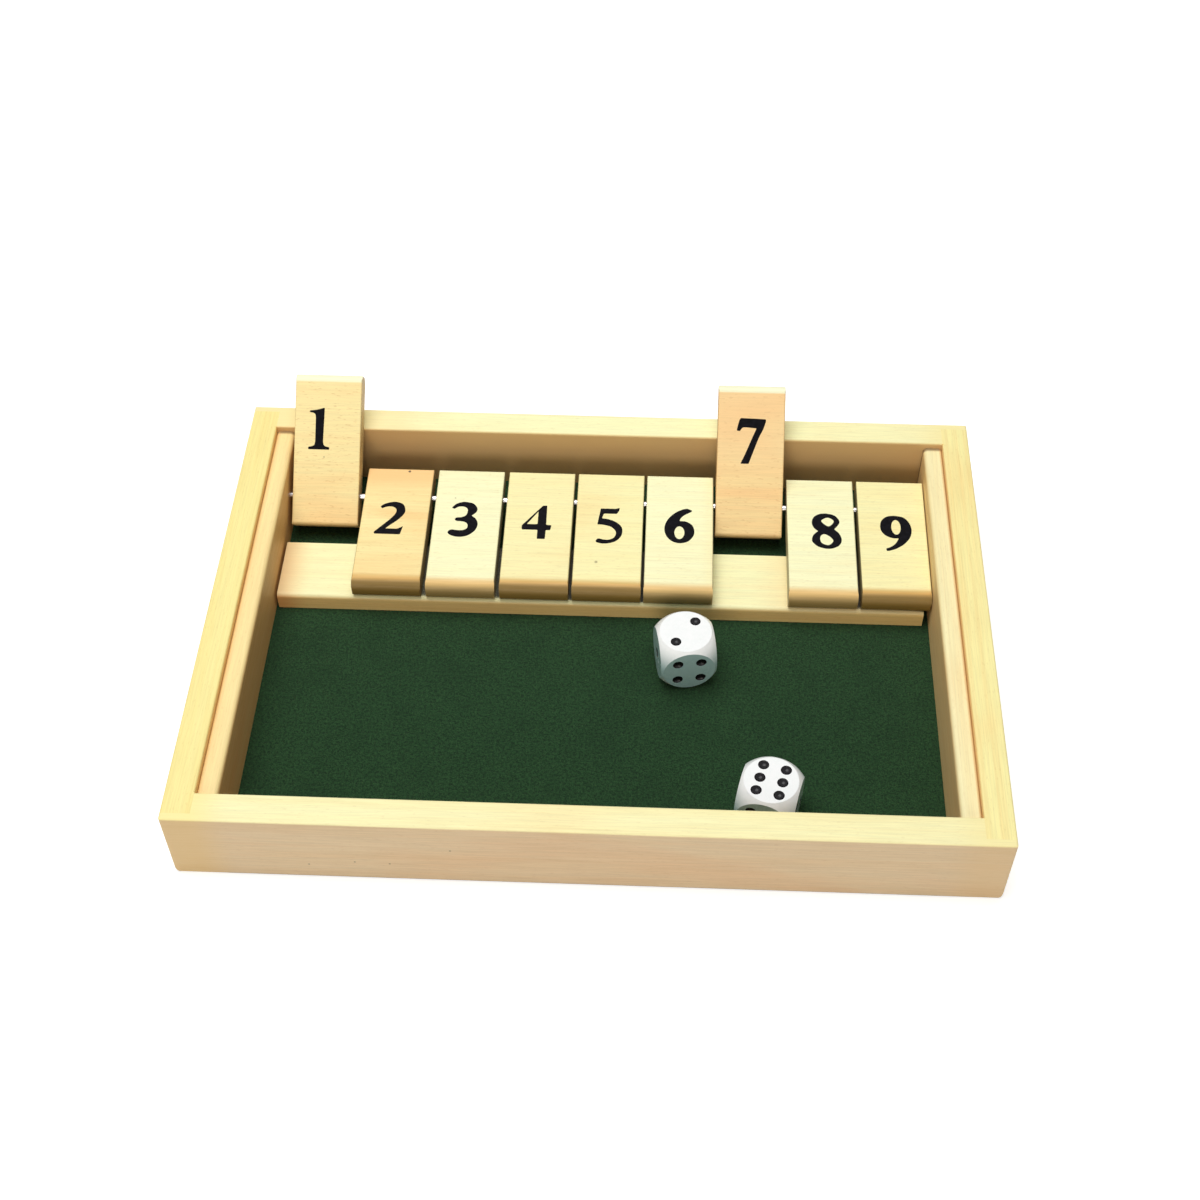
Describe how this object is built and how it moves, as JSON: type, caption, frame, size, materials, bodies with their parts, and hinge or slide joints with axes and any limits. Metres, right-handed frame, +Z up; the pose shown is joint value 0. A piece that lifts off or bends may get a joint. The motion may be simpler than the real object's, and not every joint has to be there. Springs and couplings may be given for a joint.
{
  "type": "shut the box game",
  "caption": "Shut the box game: shallow wooden dice tray with a felt floor, a row of numbered tiles hinged on a steel rod over a rest bar, and dice.",
  "frame": {"origin": "middle of the tray's underside, on the surface that it rests on", "axes": "+X to the player's right along the row of tiles, -Y towards the player, +Z up"},
  "size_m": [0.22, 0.1557, 0.0386],
  "materials": {
    "rail_wood": "thin satin lacquer",
    "tile_wood": "thin satin lacquer, printed numbers",
    "strip_wood": "thin satin lacquer",
    "plywood": "bare plywood",
    "green_felt": "short felt",
    "steel_rod": "bright drawn wire",
    "white_plastic": "glossy, black painted pips"
  },
  "bodies": {
    "tray": {"front_rail": "rail_wood", "back_rail": "rail_wood", "left_rail": "rail_wood", "right_rail": "rail_wood", "base_panel": "plywood", "felt": "green_felt", "left_strip": "strip_wood", "right_strip": "strip_wood", "rest_bar": "strip_wood", "hinge_rod": "steel_rod"},
    "tile_1": {"tile_1": "tile_wood"},
    "tile_2": {"tile_2": "tile_wood"},
    "tile_3": {"tile_3": "tile_wood"},
    "tile_4": {"tile_4": "tile_wood"},
    "tile_5": {"tile_5": "tile_wood"},
    "tile_6": {"tile_6": "tile_wood"},
    "tile_7": {"tile_7": "tile_wood"},
    "tile_8": {"tile_8": "tile_wood"},
    "tile_9": {"tile_9": "tile_wood"},
    "die_a": {"die_a": "white_plastic"},
    "die_b": {"die_b": "white_plastic"}
  },
  "joints": [
    {"name": "tile_1_hinge", "type": "hinge", "parent": "tray", "child": "tile_1", "pos_m": [-0.0851, 0.04965, 0.01401], "axis": [-1, 0, 0], "range_deg": [-142.97, 0]},
    {"name": "tile_2_hinge", "type": "hinge", "parent": "tray", "child": "tile_2", "pos_m": [-0.063, 0.04965, 0.01401], "axis": [-1, 0, 0], "range_deg": [0, 142.97]},
    {"name": "tile_3_hinge", "type": "hinge", "parent": "tray", "child": "tile_3", "pos_m": [-0.0413, 0.04965, 0.01401], "axis": [-1, 0, 0], "range_deg": [0, 142.97]},
    {"name": "tile_4_hinge", "type": "hinge", "parent": "tray", "child": "tile_4", "pos_m": [-0.0197, 0.04965, 0.01401], "axis": [-1, 0, 0], "range_deg": [0, 142.97]},
    {"name": "tile_5_hinge", "type": "hinge", "parent": "tray", "child": "tile_5", "pos_m": [0.0015, 0.04965, 0.01401], "axis": [-1, 0, 0], "range_deg": [0, 142.97]},
    {"name": "tile_6_hinge", "type": "hinge", "parent": "tray", "child": "tile_6", "pos_m": [0.0225, 0.04965, 0.01401], "axis": [-1, 0, 0], "range_deg": [0, 142.97]},
    {"name": "tile_7_hinge", "type": "hinge", "parent": "tray", "child": "tile_7", "pos_m": [0.0434, 0.04965, 0.01401], "axis": [-1, 0, 0], "range_deg": [-142.97, 0]},
    {"name": "tile_8_hinge", "type": "hinge", "parent": "tray", "child": "tile_8", "pos_m": [0.0648, 0.04965, 0.01401], "axis": [-1, 0, 0], "range_deg": [0, 142.97]},
    {"name": "tile_9_hinge", "type": "hinge", "parent": "tray", "child": "tile_9", "pos_m": [0.0861, 0.04965, 0.01401], "axis": [-1, 0, 0], "range_deg": [0, 142.97]},
    {"name": "die_a_lift", "type": "slide", "parent": "tray", "child": "die_a", "axis": [0, 0, 1], "range_m": [0, 0.06]},
    {"name": "die_b_lift", "type": "slide", "parent": "tray", "child": "die_b", "axis": [0, 0, 1], "range_m": [0, 0.06]}
  ]
}
